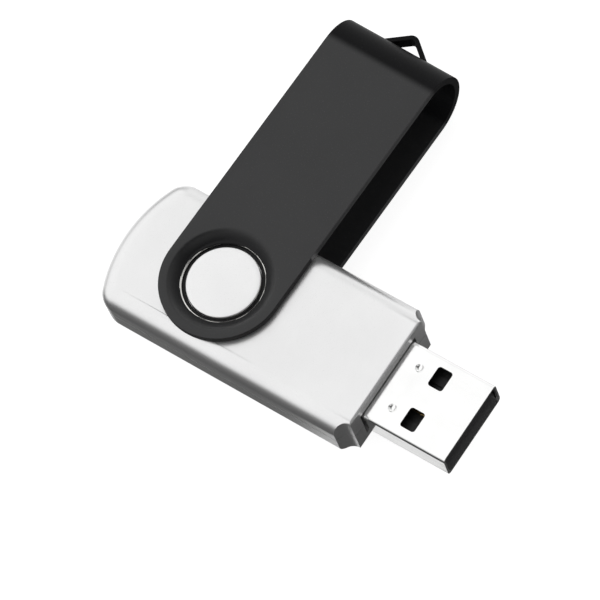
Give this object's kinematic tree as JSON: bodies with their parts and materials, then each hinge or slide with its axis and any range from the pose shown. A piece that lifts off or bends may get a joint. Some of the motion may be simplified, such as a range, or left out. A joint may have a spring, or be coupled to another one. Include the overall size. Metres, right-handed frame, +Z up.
{
  "type": "usb flash drive",
  "caption": "Swivel USB flash drive: a slim satin housing with a standard plug, covered by a folded sheet-metal clip that turns about the housing's hubs.",
  "frame": {"origin": "middle of the housing's front face, on the plug's axis, where the plug leaves the housing", "axes": "+X out along the plug, +Z up through the plug's wide face, the housing's parting plane at z = 0"},
  "size_m": [0.0538, 0.0525, 0.0104],
  "materials": {
    "silver_paint": "satin light silver-grey on moulded plastic",
    "black_paint": "satin charcoal, finely speckled, bare bright edge round the hole",
    "nickel_steel": "bright nickel plate",
    "black_plastic": "matt black",
    "gold_plating": "gold plated",
    "board_green": "green solder mask",
    "chip_epoxy": "matt black epoxy",
    "tin_plating": "tinned",
    "crystal_ceramic": "matt ceramic",
    "ferrite": "dark grey",
    "capacitor_ceramic": "tan ceramic",
    "resistor_film": "dark film",
    "solder": "bright solder"
  },
  "bodies": {
    "housing": {"housing_top": "silver_paint", "housing_bottom": "silver_paint", "plug_shell": "nickel_steel", "plug_insulator": "black_plastic", "contact_vbus": "gold_plating", "contact_data_minus": "gold_plating", "contact_data_plus": "gold_plating", "contact_ground": "gold_plating", "circuit_board": "board_green", "controller_chip": "chip_epoxy", "controller_leads": "tin_plating", "flash_chip": "chip_epoxy", "flash_leads": "tin_plating", "regulator_chip": "chip_epoxy", "regulator_leads": "tin_plating", "crystal_base": "crystal_ceramic", "crystal_lid": "nickel_steel", "ferrite_bead": "ferrite", "capacitors": "capacitor_ceramic", "resistors": "resistor_film", "component_ends": "tin_plating", "solder_joints": "solder"},
    "clip": {"swivel_clip": "black_paint"}
  },
  "joints": [
    {"name": "clip_swivel", "type": "hinge", "parent": "housing", "child": "clip", "pos_m": [-0.02535, 0, 0], "axis": [0, 0, 1], "continuous": true}
  ]
}
